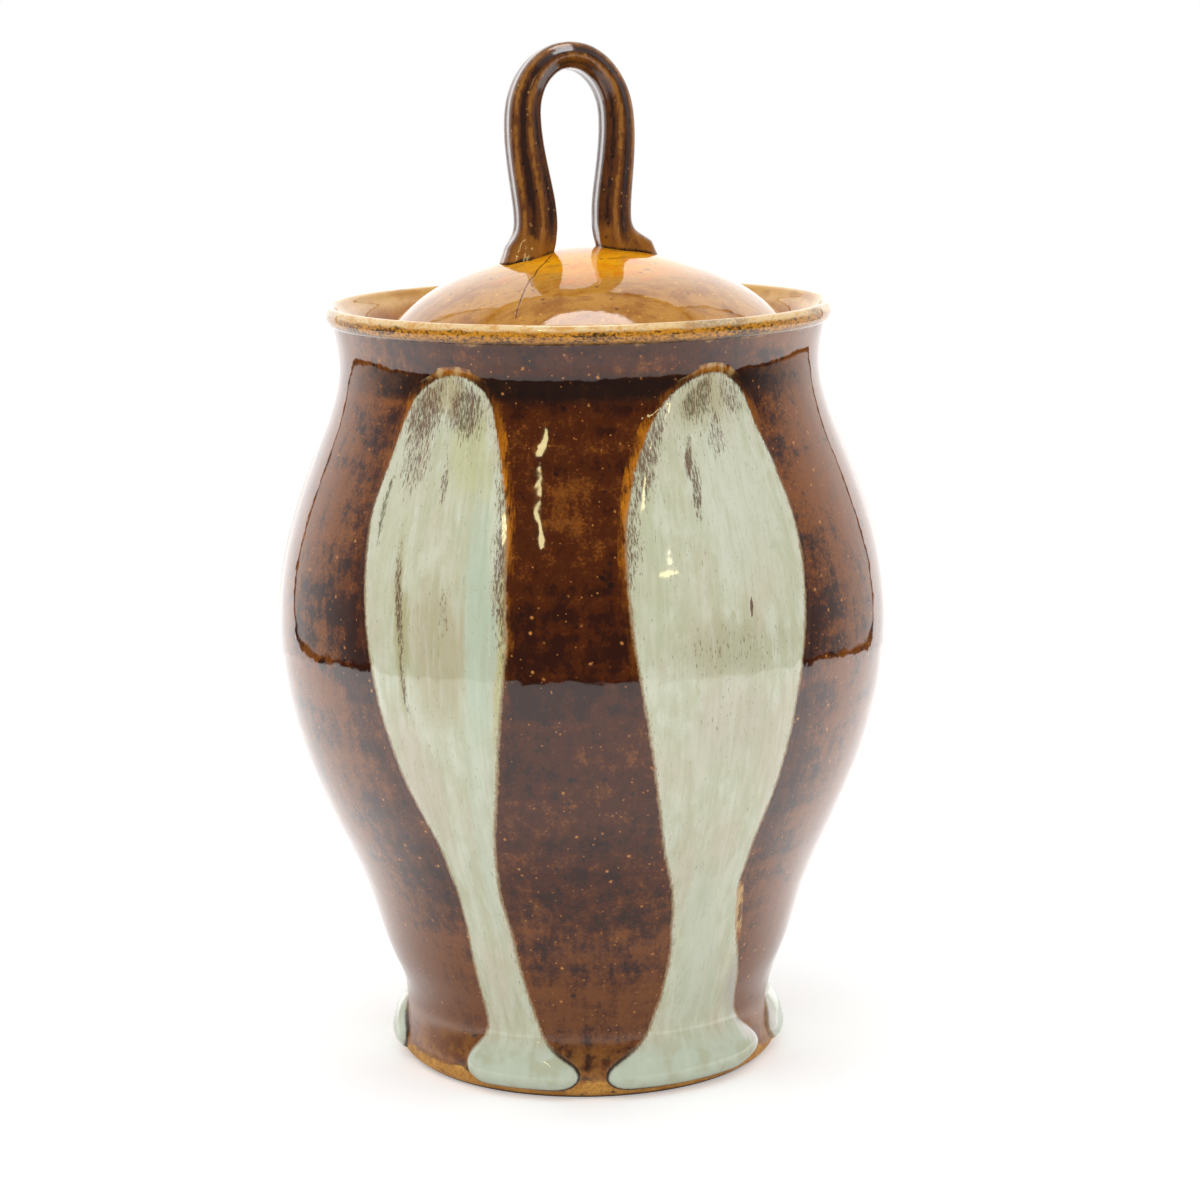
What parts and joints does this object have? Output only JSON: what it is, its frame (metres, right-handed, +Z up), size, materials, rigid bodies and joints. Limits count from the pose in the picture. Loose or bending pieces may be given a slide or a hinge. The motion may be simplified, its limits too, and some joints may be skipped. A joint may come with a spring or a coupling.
{
  "type": "lidded stoneware jar",
  "caption": "Thrown stoneware storage jar with a domed lid, a pulled loop handle and poured runs of pale glaze.",
  "frame": {"origin": "middle of the jar's foot, on the surface that it stands on", "axes": "+Z up along the jar's axis; the loop of the handle lies along X, so fingers pass through it along Y; the pictured side faces -Y, 14 degrees towards -X"},
  "size_m": [0.1488, 0.1497, 0.2466],
  "materials": {
    "brown_glaze": "glossy iron-brown glaze with fine specks, bare tan clay at the foot",
    "amber_glaze": "glossy translucent amber glaze with dark specks",
    "handle_glaze": "glossy brown glaze breaking to amber on the ridges",
    "celadon_glaze": "glossy pale grey-green glaze with brown streaks"
  },
  "bodies": {
    "jar": {"jar_body": "brown_glaze", "glaze_run_front_left": "celadon_glaze", "glaze_run_front_right": "celadon_glaze", "glaze_run_right": "celadon_glaze", "glaze_run_back_right": "celadon_glaze", "glaze_run_back_left": "celadon_glaze", "glaze_run_left": "celadon_glaze"},
    "lid": {"lid": "amber_glaze", "lid_handle": "handle_glaze"}
  },
  "joints": [
    {"name": "lid_lift", "type": "slide", "parent": "jar", "child": "lid", "axis": [0, 0, 1], "range_m": [0, 0.08]}
  ]
}
